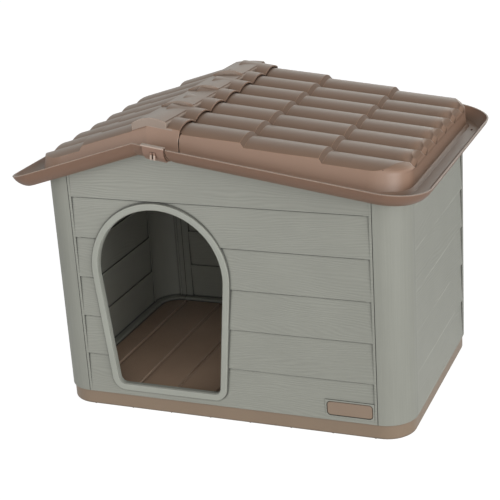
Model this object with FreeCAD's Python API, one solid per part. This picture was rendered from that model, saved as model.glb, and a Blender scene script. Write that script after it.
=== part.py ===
import FreeCAD, Part
import os
from math import asin, cos, degrees, hypot, radians, sin
from FreeCAD import Vector

# Plastic dog house: tray, four wrapped walls and a tiled roof with one hinged slope.
# All sizes are in millimetres. X runs to the right of the doorway side, Y to the back, Z up.
# The origin is on the ground below the middle of the roof rim.

# Walls
BODY_WIDTH = 650.0
BODY_DEPTH = 442.0
CORNER_RADIUS = 53.0
WALL = 3.0
SEAM_PAST_CORNER = 2.0
SEAM_GAP = 0.6
PLANK_FIRST = 75.0
PLANK_PITCH = 73.5
PLANK_LINES = 5
PLANK_STEP = 2.5
PLANK_NOTCH = 1.2
PLANK_NOTCH_HEIGHT = 1.5
PLANK_MARGIN = 4.5
LAP_WIDTH = 14.0
LAP_REACH = 12.0
LAP_BEAD = 2.2
LAP_GAP = 0.3
FOOT_DEPTH = 17.0
FOOT_TOP = 37.0
FOOT_ROUND = 2.2

# Tray
BASE_HEIGHT = 28.0
BASE_INSET = 3.0
BASE_EDGE_ROUND = 4.0
FLOOR_TOP = 31.0
FLOOR_THICKNESS = 3.0
FLOOR_GAP = 0.5
GROOVE_WIDTH = 7.0
GROOVE_DEPTH = 2.5
GROOVE_SLOPE = 2.0
GROOVE_COUNT = 8
GROOVE_FROM_WALL = 61.0
TRAY_RIB = 2.5
CROSS_RIB_COUNT = 5
CROSS_RIB_PITCH = 70.0

# Doorway
DOOR_FROM_SEAM = 161.0
DOOR_RADIUS = 116.2
DOOR_SPRING_Z = 265.8
DOOR_SILL_Z = 51.5
DOOR_TAPER = 5.35
DOOR_CORNER = 12.0
DOOR_BAND = 12.3
DOOR_PROUD = 4.0
DOOR_ROUND = 1.5
DOOR_STEP = 0.8
DOOR_STEP_BACK = 2.2
DOOR_PAD = 1.2
DOOR_SLEEVE = 2.5
DOOR_SLEEVE_DEPTH = 7.0
DOOR_FIT = 0.3

# Name plate
PLATE_FROM_SEAM = 9.0
PLATE_Z = 50.0
PLATE_WIDTH = 79.0
PLATE_HEIGHT = 24.3
PLATE_ROUND = 6.0
PLATE_THICKNESS = 2.5
PLATE_FIT = 1.1

# Roof planes and rim
RIM_SIDE_OVERHANG = 40.0
RIM_FRONT_OVERHANG = 54.5
RIGHT_RIM_RADIUS = 76.0
LEFT_RIM_RADIUS = 52.0
RIDGE_X = -112.0
RIDGE_Z = 514.0
LEFT_PITCH = 17.3
RIGHT_PITCH = 8.5
LIP_HEIGHT = 24.0
LIP_LEAN = 18.0
LIP_BULGE = 3.5
ROOF_WALL = 3.0
WALL_TOP_DROP = 22.0

# Raised tile box
BOX_FRONT_GAP = 1.0
BOX_REAR_OVERHANG = 32.0
LEFT_END_GAP = 7.5
RIGHT_END_GAP = 1.0
BOX_FRONT_DRAFT = 0.344
BOX_REAR_DRAFT = 0.094
BOX_FOOT = -21.0
BOX_FILLET_TOP = -16.0
BOX_FOOT_FLARE = 2.5
BOX_RADIUS = 58.0
LEFT_FOOT_BACK = (-1.5, 2.0)
RIGHT_FOOT_BACK = (0.0, 5.2)
LEFT_SHOULDER_FROM = (7.0, 9.9)
LEFT_SHOULDER_TO = (27.0, 36.0)
LEFT_SHOULDER_POWER = 2.0
RIGHT_SHOULDER_FROM = (8.0, 9.8)
RIGHT_SHOULDER_TO = (26.0, 38.0)
RIGHT_SHOULDER_POWER = 2.4
SHOULDER_STEPS = 6
BARREL_COUNT = 7
BARREL_RISE = 8.5
COURSE_LOW = 8.0
COURSE_DROP = 6.0
RISER_RUN = 7.0
RIGHT_COURSE = 133.5
RIGHT_FIRST_RISER = 170.0
LEFT_RISER = 135.0
LEFT_UPPER = 9.8
LEFT_LOWER = 4.0
LEFT_RISE = 7.0
STUB_TOP = 14.2

# Ridge tiles
CAP_LEFT_HALF = 28.0
CAP_RIGHT_HALF = 35.0
CAP_CREST_SHIFT = 6.0
CAP_LEFT_RISE = 18.0
CAP_RIGHT_RISE = 20.5
CAP_CREST_RISE = 26.0
CAP_BED_DROP = 14.0
CAP_REAR_GAP = 7.0
CAP_FIRST_LIP = 123.0
CAP_LIP_PITCH = 115.0
CAP_LIP_COUNT = 3
CAP_LIP_RUN = 3.0
CAP_BAND = 6.0
CAP_BAND_RISE = 2.0
CAP_SHOULDER = 5.0
CAP_LIP_SINK = 3.5
CAP_LOW_SINK = 8.5
CAP_SIDE_SHARE = 0.4

# Hinge of the lid
AXIS_FROM_RIDGE = 87.0
AXIS_DROP = 13.0
MOVING_SEAM_RADIUS = 29.5
FIXED_SEAM_RADIUS = 30.5
MOVING_SEAM_BACK = 28.5
FIXED_SEAM_BACK = 29.0
LAP_EDGE_BACK = 34.0
SWING_CLEARANCE = 0.7
PIN_RADIUS = 3.0
PIN_SEAT_GAP = 0.02
PIN_RUNNING_GAP = 0.06
PIN_HEAD_RADIUS = 5.0
PIN_HEAD = 2.0
HUB_RADIUS = 6.5
EAR_THICKNESS = 6.0
EAR_FROM_WALL = 21.5
EAR_GAP = 0.5
LUG_THICKNESS = 6.0
BRACKET_WIDTH = 50.0
BRACKET_PLATE = 3.0
BRACKET_HEIGHT = 44.0
BRACKET_TOP_DROP = 44.0
SCREW_RADIUS = 2.0
SCREW_HEAD_RADIUS = 3.3
SCREW_HEAD = 2.5
SCREW_LENGTH = 6.5
SCREW_GAP = 0.1

# Rim latches
LATCH_START = 20.5
LATCH_LENGTH = 37.0
LATCH_GAP = 0.4
LATCH_WALL = 2.2
LATCH_HOOK_DEPTH = 8.0
LATCH_TONGUE = 1.5
LATCH_PLATE_SHIFT = -3.0
GRIP_WIDTH = 9.0
GRIP_RIB = 3.0
GRIP_RISE = 1.5
GRIP_THICKNESS = 4.0
GRIP_LOW = 21.0
GRIP_HIGH = 8.0

# Roof seats and base screws
SEAT_RIB = 3.0
SEAT_RIB_DEPTH = 26.0
SEAT_GAP = 0.3
BOSS_INSET = 9.5
BOSS_FROM_SEAM = 50.0
BOSS_RADIUS = 4.2
BOSS_HEIGHT = 8.5
BOSS_TIP = 1.3
BASE_SCREW_LENGTH = 10.0
SLOT_LENGTH = 8.0
SLOT_WIDTH = 3.0
SLOT_FROM_WALL = 27.0

FRONT = -BODY_DEPTH / 2
SIDE = BODY_WIDTH / 2
PANEL_HALF = SIDE - CORNER_RADIUS - SEAM_PAST_CORNER
SIDE_EDGE = BODY_DEPTH / 2 - CORNER_RADIUS
GROOVE_PITCH = (BODY_WIDTH - 2 * GROOVE_FROM_WALL) / (GROOVE_COUNT - 1)
DOOR_X = -PANEL_HALF + DOOR_FROM_SEAM
PLATE_X = PANEL_HALF - PLATE_FROM_SEAM - PLATE_WIDTH / 2
RIM_WIDTH = BODY_WIDTH + 2 * RIM_SIDE_OVERHANG
RIM_DEPTH = BODY_DEPTH + 2 * RIM_FRONT_OVERHANG
BOX_REAR = BODY_DEPTH / 2 + BOX_REAR_OVERHANG
AXIS_X = RIDGE_X + AXIS_FROM_RIDGE
AXIS_Z = RIDGE_Z - AXIS_DROP
EAR_Y = BODY_DEPTH / 2 - EAR_FROM_WALL
SLOT_Y = BODY_DEPTH / 2 - SLOT_FROM_WALL
BARREL_FRONT = FRONT + 7.2
BARREL_PITCH = (BOX_REAR - BARREL_FRONT) / BARREL_COUNT
DEPTH_INSIDE = WALL + PLANK_STEP
BIG = 900.0


def box(x0, x1, y0, y1, z0, z1):
    return Part.makeBox(x1 - x0, y1 - y0, z1 - z0, Vector(x0, y0, z0))


def loop(points):
    return Part.makePolygon([Vector(*p) for p in points + points[:1]])


def prism(points, travel):
    return Part.Face(loop(points)).extrude(Vector(*travel))


def cylinder_y(x, z, radius, y0, y1):
    return Part.makeCylinder(radius, y1 - y0, Vector(x, y0, z), Vector(0, 1, 0))


def fuse(shapes):
    whole = shapes[0]
    if len(shapes) > 1:
        whole = whole.multiFuse(shapes[1:])
    return whole.removeSplitter()


def mirrored_x(shape):
    return shape.mirror(Vector(0, 0, 0), Vector(1, 0, 0))


def mirrored_y(shape):
    return shape.mirror(Vector(0, 0, 0), Vector(0, 1, 0))


def rounded_rectangle(x0, x1, y0, y1, radius, z):
    corners = [(x1, y0, 1, -1), (x1, y1, 1, 1), (x0, y1, -1, 1), (x0, y0, -1, -1)]
    diagonal = radius * cos(radians(45))
    ends = []
    for index, (x, y, sx, sy) in enumerate(corners):
        centre = Vector(x - sx * radius, y - sy * radius, z)
        along_y = centre + Vector(sx * radius, 0, 0)
        along_x = centre + Vector(0, sy * radius, 0)
        middle = centre + Vector(sx * diagonal, sy * diagonal, 0)
        first, last = (along_x, along_y) if index % 2 == 0 else (along_y, along_x)
        ends.append((first, middle, last))
    edges = []
    for index, (first, middle, last) in enumerate(ends):
        edges.append(Part.Arc(first, middle, last).toShape())
        edges.append(Part.makeLine(last, ends[(index + 1) % 4][0]))
    return Part.Wire(edges)


def rounded_block(x0, x1, y0, y1, radius, z0, z1):
    face = Part.Face(rounded_rectangle(x0, x1, y0, y1, radius, z0))
    return face.extrude(Vector(0, 0, z1 - z0))


# Places on the two roof slopes
def on_slope(shape, pitch):
    placed = shape.copy()
    placed.rotate(Vector(0, 0, 0), Vector(0, 1, 0), pitch)
    placed.translate(Vector(RIDGE_X, 0, RIDGE_Z))
    return placed


def slope_run(half_width_from_ridge, pitch, depth):
    return (half_width_from_ridge - depth * sin(radians(pitch))) / cos(radians(pitch))


def gable_prism(drop, low):
    bisector = radians((LEFT_PITCH - RIGHT_PITCH) / 2)
    half_angle = radians(90 - (LEFT_PITCH + RIGHT_PITCH) / 2)
    reach = drop / sin(half_angle)
    peak_x = RIDGE_X + reach * sin(bisector)
    peak_z = RIDGE_Z - reach * cos(bisector)
    left_fall = sin(radians(LEFT_PITCH)) / cos(radians(LEFT_PITCH))
    right_fall = sin(radians(RIGHT_PITCH)) / cos(radians(RIGHT_PITCH))
    span = BODY_WIDTH
    outline = [(-span, -BIG / 2, low), (span, -BIG / 2, low),
               (span, -BIG / 2, peak_z - (span - peak_x) * right_fall),
               (peak_x, -BIG / 2, peak_z),
               (-span, -BIG / 2, peak_z - (span + peak_x) * left_fall)]
    return prism(outline, (0, BIG, 0))


# Plank siding, drawn as depth behind the wall's face against height
def siding_outline():
    outer = [(0.0, BASE_HEIGHT)]
    inner = [(WALL, BASE_HEIGHT)]
    for row in range(1, PLANK_LINES + 1):
        line = BASE_HEIGHT + PLANK_FIRST + (row - 1) * PLANK_PITCH
        notch = line - PLANK_NOTCH_HEIGHT
        outer += [(PLANK_STEP, notch), (PLANK_STEP + PLANK_NOTCH, notch), (PLANK_STEP + PLANK_NOTCH, line),
                  (0.0, line)]
        inner += [(DEPTH_INSIDE, line + WALL), (WALL, line + WALL)]
    outer.append((PLANK_STEP, RIDGE_Z))
    inner.append((DEPTH_INSIDE, RIDGE_Z))
    return outer + inner[::-1]


def siding(across0, across1, face, inward, along_x):
    outline = siding_outline()
    if along_x:
        points = [(across0, face + inward * depth, z) for depth, z in outline]
        return prism(points, (across1 - across0, 0, 0))
    points = [(face + inward * depth, across0, z) for depth, z in outline]
    return prism(points, (0, across1 - across0, 0))


# Doorway outline, offset outwards
def door_wire(offset, y):
    taper = radians(DOOR_TAPER)
    radius = DOOR_RADIUS + offset
    corner = DOOR_CORNER + offset
    corner_z = DOOR_SILL_Z + DOOR_CORNER
    corner_x = (DOOR_RADIUS - DOOR_CORNER + (corner_z - DOOR_SPRING_Z) * sin(taper)) / cos(taper)
    bend = (taper + radians(90)) / 2

    def point(x, z):
        return Vector(DOOR_X + x, y, z)

    def side(sign):
        top = point(sign * radius * cos(taper), DOOR_SPRING_Z - radius * sin(taper))
        low = point(sign * (corner_x + corner * cos(taper)), corner_z - corner * sin(taper))
        turn = point(sign * (corner_x + corner * cos(bend)), corner_z - corner * sin(bend))
        end = point(sign * corner_x, corner_z - corner)
        return top, low, turn, end

    right = side(1)
    left = side(-1)
    crown = point(0, DOOR_SPRING_Z + radius)
    return Part.Wire([
        Part.Arc(left[0], crown, right[0]).toShape(),
        Part.makeLine(right[0], right[1]),
        Part.Arc(right[1], right[2], right[3]).toShape(),
        Part.makeLine(right[3], left[3]),
        Part.Arc(left[3], left[2], left[1]).toShape(),
        Part.makeLine(left[1], left[0])])


def door_block(offset, y0, y1):
    return Part.Face(door_wire(offset, y0)).extrude(Vector(0, y1 - y0, 0))


# Rim section: lip above, curved outer face, rim bottom below
def rim_arc_centre():
    chord = hypot(LIP_LEAN, LIP_HEIGHT)
    radius = (chord * chord / 4 + LIP_BULGE * LIP_BULGE) / (2 * LIP_BULGE)
    back = radius - LIP_BULGE
    inward = LIP_LEAN / 2 + back * LIP_HEIGHT / chord
    height = -LIP_HEIGHT / 2 + back * LIP_LEAN / chord
    return inward, height, radius


def rim_face(radius, inset):
    lip = radius - inset
    foot = lip - LIP_LEAN
    chord = hypot(LIP_LEAN, LIP_HEIGHT)
    middle = (lip + foot) / 2 + LIP_BULGE * LIP_HEIGHT / chord
    middle_z = -LIP_HEIGHT / 2 - LIP_BULGE * LIP_LEAN / chord
    curve = Part.Arc(Vector(foot, 0, -LIP_HEIGHT), Vector(middle, 0, middle_z), Vector(lip, 0, 0))
    top = Vector(lip, 0, inset * 2)
    edges = [Part.makeLine(Vector(0, 0, -LIP_HEIGHT), Vector(foot, 0, -LIP_HEIGHT)), curve.toShape()]
    if inset > 0:
        edges.append(Part.makeLine(Vector(lip, 0, 0), top))
    edges.append(Part.makeLine(top, Vector(0, 0, inset * 2)))
    edges.append(Part.makeLine(Vector(0, 0, inset * 2), Vector(0, 0, -LIP_HEIGHT)))
    return Part.Face(Part.Wire(edges))


def rim_body(run, radius, inset):
    face = rim_face(radius, inset)
    centre_x = run - radius
    centre_y = RIM_DEPTH / 2 - radius
    back = run
    end = face.copy()
    end.translate(Vector(centre_x, -centre_y, 0))
    end = end.extrude(Vector(0, 2 * centre_y, 0))
    front = face.copy()
    front.rotate(Vector(0, 0, 0), Vector(0, 0, 1), -90)
    front.translate(Vector(centre_x - back, -centre_y, 0))
    front = front.extrude(Vector(back, 0, 0))
    corner = face.copy()
    corner.translate(Vector(centre_x, -centre_y, 0))
    corner = corner.revolve(Vector(centre_x, -centre_y, 0), Vector(0, 0, 1), -90)
    middle = box(centre_x - back, centre_x, -centre_y, centre_y, -LIP_HEIGHT, inset * 2)
    return fuse([end, front, corner, mirrored_y(front), mirrored_y(corner), middle])


def dish(run, radius):
    outer = rim_body(run, radius, 0)
    inner = rim_body(run, radius, ROOF_WALL)
    floor = box(-BIG, BIG, -BIG, BIG, -BIG, -LIP_HEIGHT + ROOF_WALL)
    return outer.cut(inner.cut(floor))


# End face of the tile box, as height against distance in from its foot
def shoulder_profile(foot_back, start, finish, power):
    profile = [(BOX_FOOT, foot_back[0]), (BOX_FILLET_TOP, foot_back[1])]
    for step in range(SHOULDER_STEPS + 1):
        share = step / SHOULDER_STEPS
        height = start[0] + (finish[0] - start[0]) * share
        back = start[1] + (finish[1] - start[1]) * share ** power
        profile.append((height, back))
    return tuple(profile)


# Raised box of tiles, as a drafted block under a wavy stepped top
def drafted_block(end_at_foot, shoulder, inset, low):
    wires = []
    for height, back in ((low, shoulder[0][1]),) + shoulder:
        rise = max(height, BOX_FILLET_TOP) - BOX_FOOT
        flare = BOX_FOOT_FLARE if height < BOX_FILLET_TOP else 0.0
        front = FRONT - BOX_FRONT_GAP - ROOF_WALL + BOX_FRONT_DRAFT * rise + inset - flare
        rear = BOX_REAR + 3.0 - BOX_REAR_DRAFT * rise - inset + flare
        end = end_at_foot - back - inset
        wires.append(rounded_rectangle(-BIG / 4, end, front, rear, BOX_RADIUS - inset, height))
    return Part.makeLoft(wires, True, True)


def wavy_wire(x, height, rise):
    low = -LIP_HEIGHT - 20
    y_front = BARREL_FRONT - 40
    y_rear = BOX_REAR + 20
    edges = [Part.makeLine(Vector(x, y_front, height), Vector(x, BARREL_FRONT, height))]
    for barrel in range(BARREL_COUNT):
        y = BARREL_FRONT + barrel * BARREL_PITCH
        crest = Vector(x, y + BARREL_PITCH / 2, height + rise)
        edges.append(Part.Arc(Vector(x, y, height), crest, Vector(x, y + BARREL_PITCH, height)).toShape())
    edges.append(Part.makeLine(Vector(x, BOX_REAR, height), Vector(x, y_rear, height)))
    edges.append(Part.makeLine(Vector(x, y_rear, height), Vector(x, y_rear, low)))
    edges.append(Part.makeLine(Vector(x, y_rear, low), Vector(x, y_front, low)))
    edges.append(Part.makeLine(Vector(x, y_front, low), Vector(x, y_front, height)))
    return Part.Wire(edges)


def tile_top(stations, inset, rise=BARREL_RISE):
    return Part.makeLoft([wavy_wire(x, height - inset, rise) for x, height in stations], True, True)


def right_stations(run):
    stations = [(-BODY_WIDTH / 10, COURSE_LOW), (RIGHT_FIRST_RISER - RIGHT_COURSE, COURSE_LOW)]
    riser = RIGHT_FIRST_RISER
    while riser < run:
        stations.append((riser - RISER_RUN, COURSE_LOW + COURSE_DROP))
        stations.append((riser, COURSE_LOW))
        riser += RIGHT_COURSE
    rest = (run + RISER_RUN - (riser - RIGHT_COURSE)) / RIGHT_COURSE
    stations.append((run + RISER_RUN, COURSE_LOW + COURSE_DROP * rest))
    return stations


def left_stations(run):
    return [(-BODY_WIDTH / 10, LEFT_UPPER), (LEFT_RISER - RISER_RUN, LEFT_UPPER + 1.0),
            (LEFT_RISER, LEFT_LOWER), (run + RISER_RUN, LEFT_LOWER + 1.0)]


def box_end(sign):
    gap, pitch = (RIGHT_END_GAP, RIGHT_PITCH) if sign > 0 else (LEFT_END_GAP, LEFT_PITCH)
    return slope_run(SIDE + gap + ROOF_WALL - sign * RIDGE_X, pitch, -LIP_HEIGHT + ROOF_WALL)


def seat_ribs(hollow, places):
    ribs = []
    for x0, x1, y0, y1 in places:
        ribs.append(box(x0, x1, y0, y1, -WALL_TOP_DROP + SEAT_GAP, BIG / 10).common(hollow))
    return ribs


def roof_half(run, radius, end_at_foot, shoulder, stations, rise, places):
    low = -LIP_HEIGHT + ROOF_WALL / 2
    block = drafted_block(end_at_foot, shoulder, 0, low)
    block = block.common(tile_top(stations, 0, rise))
    hollow = drafted_block(end_at_foot, shoulder, ROOF_WALL, low - ROOF_WALL)
    hollow = hollow.common(tile_top(stations, ROOF_WALL, rise))
    shell = dish(run, radius).fuse(block).cut(hollow)
    return fuse([shell] + seat_ribs(hollow, places))


def side_places(end, half_count, pitch):
    return [(end - SEAT_RIB_DEPTH, end + ROOF_WALL, k * pitch - SEAT_RIB / 2, k * pitch + SEAT_RIB / 2)
            for k in range(-half_count, half_count + 1)]


def wall_places(runs):
    places = []
    for x in runs:
        places.append((x - SEAT_RIB / 2, x + SEAT_RIB / 2, FRONT - 5, FRONT + SEAT_RIB_DEPTH))
        places.append((x - SEAT_RIB / 2, x + SEAT_RIB / 2, -FRONT - SEAT_RIB_DEPTH / 2, BOX_REAR + 5))
    return places


def right_half(stations, places):
    run = slope_run(RIM_WIDTH / 2 - RIDGE_X, RIGHT_PITCH, 0)
    shoulder = shoulder_profile(RIGHT_FOOT_BACK, RIGHT_SHOULDER_FROM, RIGHT_SHOULDER_TO, RIGHT_SHOULDER_POWER)
    return roof_half(run, RIGHT_RIM_RADIUS, box_end(1), shoulder, stations, BARREL_RISE, places)


def left_half(places):
    run = slope_run(RIM_WIDTH / 2 + RIDGE_X, LEFT_PITCH, 0)
    end = box_end(-1)
    stations = left_stations(end)
    shoulder = shoulder_profile(LEFT_FOOT_BACK, LEFT_SHOULDER_FROM, LEFT_SHOULDER_TO, LEFT_SHOULDER_POWER)
    return mirrored_x(roof_half(run, LEFT_RIM_RADIUS, end, shoulder, stations, LEFT_RISE, places))


def ridge_side(sign):
    slab = box(0, BIG, -BIG, BIG, -BIG, BIG)
    if sign < 0:
        slab = mirrored_x(slab)
    slab.rotate(Vector(0, 0, 0), Vector(0, 1, 0), (RIGHT_PITCH - LEFT_PITCH) / 2)
    slab.translate(Vector(RIDGE_X, 0, RIDGE_Z))
    return slab


# Ridge tiles
def cap_wire(y, sink, inset):
    left = RIDGE_X - CAP_LEFT_HALF + inset
    right = RIDGE_X + CAP_RIGHT_HALF - inset
    base = RIDGE_Z - inset
    side_sink = sink * CAP_SIDE_SHARE
    left_top = Vector(left, y, base + CAP_LEFT_RISE - side_sink)
    crest = Vector(RIDGE_X + CAP_CREST_SHIFT, y, base + CAP_CREST_RISE - sink)
    right_top = Vector(right, y, base + CAP_RIGHT_RISE - side_sink)
    left_low = Vector(left, y, RIDGE_Z - CAP_BED_DROP)
    right_low = Vector(right, y, RIDGE_Z - CAP_BED_DROP)
    bend = CAP_SHOULDER * (1 - cos(radians(45)))

    def shoulder(top, inward):
        flat = top + Vector(inward * CAP_SHOULDER, 0, 0)
        middle = top + Vector(inward * bend, 0, -bend)
        return top - Vector(0, 0, CAP_SHOULDER), middle, flat

    left_foot, left_middle, left_flat = shoulder(left_top, 1)
    right_foot, right_middle, right_flat = shoulder(right_top, -1)
    return Part.Wire([Part.makeLine(left_low, left_foot), Part.Arc(left_foot, left_middle, left_flat).toShape(),
                      Part.Arc(left_flat, crest, right_flat).toShape(),
                      Part.Arc(right_flat, right_middle, right_foot).toShape(),
                      Part.makeLine(right_foot, right_low), Part.makeLine(right_low, left_low)])


def cap_block(y0, y1, inset):
    stations = [(y0, 0.0)]
    for index in range(CAP_LIP_COUNT):
        y = FRONT + CAP_FIRST_LIP + index * CAP_LIP_PITCH
        stations += [(y - CAP_LIP_RUN, CAP_LOW_SINK), (y, CAP_LIP_SINK - CAP_BAND_RISE),
                     (y + CAP_BAND, CAP_LIP_SINK - CAP_BAND_RISE), (y + CAP_BAND + CAP_LIP_RUN, CAP_LIP_SINK)]
    stations.append((y1, CAP_LOW_SINK))
    return Part.makeLoft([cap_wire(y, sink, inset) for y, sink in stations], True, True)


# Seam between the fixed roof and the lid
def fixed_side_cutter():
    beyond = box(AXIS_X - FIXED_SEAM_BACK, BIG, -BIG, BIG, -BIG, BIG)
    return beyond.fuse(cylinder_y(AXIS_X, AXIS_Z, FIXED_SEAM_RADIUS, -BIG, BIG))


def lid_keep(y0, y1):
    right = box(AXIS_X, BIG, -BIG, BIG, -BIG, BIG)
    knuckle = cylinder_y(AXIS_X, AXIS_Z, MOVING_SEAM_RADIUS, -BIG, BIG)
    knuckle = knuckle.common(box(AXIS_X - MOVING_SEAM_BACK, AXIS_X, -BIG, BIG, -BIG, BIG))
    lap = box(AXIS_X - LAP_EDGE_BACK, AXIS_X, y0, y1, AXIS_Z, BIG)
    return right.fuse(knuckle).fuse(lap)


def roof_fixed():
    stub_run = slope_run(AXIS_FROM_RIDGE - FIXED_SEAM_BACK, RIGHT_PITCH, STUB_TOP)
    stations = [(-BODY_WIDTH / 10, STUB_TOP - 1), (stub_run + 10, STUB_TOP)]
    right = on_slope(right_half(stations, []), RIGHT_PITCH)
    right = right.common(ridge_side(1)).cut(fixed_side_cutter())
    places = side_places(box_end(-1), 2, 70) + wall_places([45, 140])
    left = on_slope(left_half(places), -LEFT_PITCH).common(ridge_side(-1))
    cap_front = BARREL_FRONT + 0.3
    cap_rear = BOX_REAR - CAP_REAR_GAP
    shell = left.fuse(right).fuse(cap_block(cap_front, cap_rear, 0))
    shell = shell.cut(cap_block(cap_front + ROOF_WALL, cap_rear - ROOF_WALL, ROOF_WALL))
    return shell.removeSplitter()


def lid_ear():
    rise = 40.0
    hub = cylinder_y(AXIS_X, AXIS_Z, HUB_RADIUS, EAR_Y - EAR_THICKNESS / 2, EAR_Y + EAR_THICKNESS / 2)
    web = box(AXIS_X - HUB_RADIUS, AXIS_X + HUB_RADIUS * 2, EAR_Y - EAR_THICKNESS / 2,
              EAR_Y + EAR_THICKNESS / 2, AXIS_Z, AXIS_Z + rise)
    return hub.fuse(web)


def roof_lid():
    end = box_end(1)
    stations = right_stations(end)
    places = side_places(end, 2, 70) + wall_places([230, 370])
    half = on_slope(right_half(stations, places), RIGHT_PITCH)
    lap_front = BARREL_FRONT + ROOF_WALL + SWING_CLEARANCE
    lap_rear = BOX_REAR - ROOF_WALL - SWING_CLEARANCE
    lid = half.common(lid_keep(lap_front, lap_rear))
    slopes = on_slope(tile_top(stations, ROOF_WALL / 2), RIGHT_PITCH)
    ears = [lid_ear(), mirrored_y(lid_ear())]
    lid = fuse([lid] + [ear.common(slopes) for ear in ears])
    reach = EAR_Y + EAR_THICKNESS
    bore = cylinder_y(AXIS_X, AXIS_Z, PIN_RADIUS + PIN_RUNNING_GAP, -reach, reach)
    slot_x = end + 8.0
    slot = box(slot_x - SLOT_WIDTH / 2, slot_x + SLOT_WIDTH / 2, SLOT_Y - SLOT_LENGTH / 2,
               SLOT_Y + SLOT_LENGTH / 2, -LIP_HEIGHT - 5, -LIP_HEIGHT + 10)
    return lid.cut(bore).cut(on_slope(slot, RIGHT_PITCH))


# Walls
def foot_section():
    edge = FOOT_DEPTH
    bend = FOOT_ROUND * (1 - cos(radians(45)))

    def at(depth, z):
        return Vector(0, depth, z)

    turn = Part.Arc(at(edge - FOOT_ROUND, FOOT_TOP), at(edge - bend, FOOT_TOP - bend),
                    at(edge, FOOT_TOP - FOOT_ROUND))
    corners = [at(edge, FOOT_TOP - FOOT_ROUND), at(edge, BASE_HEIGHT), at(edge - WALL, BASE_HEIGHT),
               at(edge - WALL, FOOT_TOP - WALL), at(WALL / 2, FOOT_TOP - WALL), at(WALL / 2, FOOT_TOP),
               at(edge - FOOT_ROUND, FOOT_TOP)]
    lines = [Part.makeLine(*pair) for pair in zip(corners, corners[1:])]
    return Part.Face(Part.Wire([turn.toShape()] + lines))


def foot_along_x(x0, x1):
    section = foot_section()
    section.translate(Vector(x0, FRONT, 0))
    return section.extrude(Vector(x1 - x0, 0, 0))


def foot_along_y(y0, y1):
    section = foot_section()
    section.rotate(Vector(0, 0, 0), Vector(0, 0, 1), 90)
    section.translate(Vector(SIDE, y0, 0))
    return section.extrude(Vector(0, y1 - y0, 0))


def screw_places():
    front_y = FRONT + BOSS_INSET
    side_x = SIDE - BOSS_INSET
    across = PANEL_HALF - BOSS_FROM_SEAM
    along = SIDE_EDGE - BOSS_FROM_SEAM
    front = [(x, front_y) for x in (-across, 0.0, across)]
    rear = [(x, -front_y) for x in (-across, 0.0, across)]
    left = [(-side_x, y) for y in (-along, along)]
    right = [(side_x, y) for y in (-along, along)]
    return {"front": front, "rear": rear, "left": left, "right": right}


def bosses(places):
    return [Part.makeCylinder(BOSS_RADIUS, BOSS_HEIGHT, Vector(x, y, BASE_HEIGHT)) for x, y in places]


def screw_holes(places, z0, z1, radius):
    return [Part.makeCylinder(radius, z1 - z0, Vector(x, y, z0)) for x, y in places]


def corner_lap():
    centre_x = SIDE - CORNER_RADIUS
    outer = CORNER_RADIUS - WALL - LAP_GAP
    turn = degrees(asin((PANEL_HALF + LAP_REACH - centre_x) / outer))
    low = FOOT_TOP + LAP_GAP
    centre = Vector(centre_x, FRONT + CORNER_RADIUS, low)
    height = RIDGE_Z - low
    curve = Part.makeCylinder(outer, height, centre, Vector(0, 0, 1), turn)
    curve = curve.cut(Part.makeCylinder(outer - WALL, height, centre))
    curve.rotate(centre, Vector(0, 0, 1), -90)
    edge = centre + Vector(sin(radians(turn)), -cos(radians(turn)), 0) * (outer - LAP_BEAD)
    bead = Part.makeCylinder(LAP_BEAD, height, edge)
    back = FRONT + 2 * WALL + LAP_GAP
    root = box(PANEL_HALF - LAP_WIDTH, PANEL_HALF - SEAM_GAP / 2, FRONT + WALL - 0.5, back, low, RIDGE_Z)
    tab = box(PANEL_HALF - SEAM_GAP / 2 - 0.5, centre_x, FRONT + WALL + LAP_GAP, back, low, RIDGE_Z)
    return [curve, bead, root, tab]


def long_panel():
    half = PANEL_HALF - SEAM_GAP / 2
    field = half - PLANK_MARGIN
    inside = FRONT + DEPTH_INSIDE
    pieces = [siding(-field - 0.5, field + 0.5, FRONT, 1, True)]
    for sign in (-1, 1):
        x0, x1 = sorted((sign * field, sign * half))
        pieces.append(box(x0, x1, FRONT, inside, BASE_HEIGHT, RIDGE_Z))
    pieces.append(foot_along_x(-half, half))
    for piece in corner_lap():
        pieces += [piece, mirrored_x(piece)]
    pad_top = AXIS_Z - BRACKET_TOP_DROP
    pad_half = BRACKET_WIDTH / 2
    pieces.append(box(AXIS_X - pad_half, AXIS_X + pad_half, FRONT + WALL - 0.5, inside,
                      pad_top - BRACKET_HEIGHT, pad_top))
    return pieces


def bracket_screw_places():
    z = AXIS_Z - BRACKET_TOP_DROP - BRACKET_HEIGHT / 2 - 4
    return [(AXIS_X - BRACKET_WIDTH / 2 + 9, z), (AXIS_X + BRACKET_WIDTH / 2 - 9, z)]


def front_panel():
    pieces = long_panel() + bosses(screw_places()["front"])
    inside = FRONT + DEPTH_INSIDE
    pieces.append(door_block(DOOR_BAND + DOOR_PAD, FRONT, inside))
    margin = 3.5
    pieces.append(box(PLATE_X - PLATE_WIDTH / 2 - margin, PLATE_X + PLATE_WIDTH / 2 + margin, FRONT,
                      inside, PLATE_Z - PLATE_HEIGHT / 2 - margin, PLATE_Z + PLATE_HEIGHT / 2 + margin))
    panel = fuse(pieces).common(gable_prism(WALL_TOP_DROP, 0))
    panel = panel.cut(door_block(DOOR_SLEEVE + DOOR_FIT, FRONT - 1, FRONT + 2 * FOOT_DEPTH))
    panel = panel.cut(plate_block(PLATE_FIT, FRONT - 1, FRONT + PLATE_THICKNESS))
    panel = panel.cut(cylinder_y(AXIS_X, AXIS_Z, FIXED_SEAM_RADIUS + SWING_CLEARANCE, FRONT - 1, 0))
    return cut_panel_holes(panel, "front", FRONT)


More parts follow.
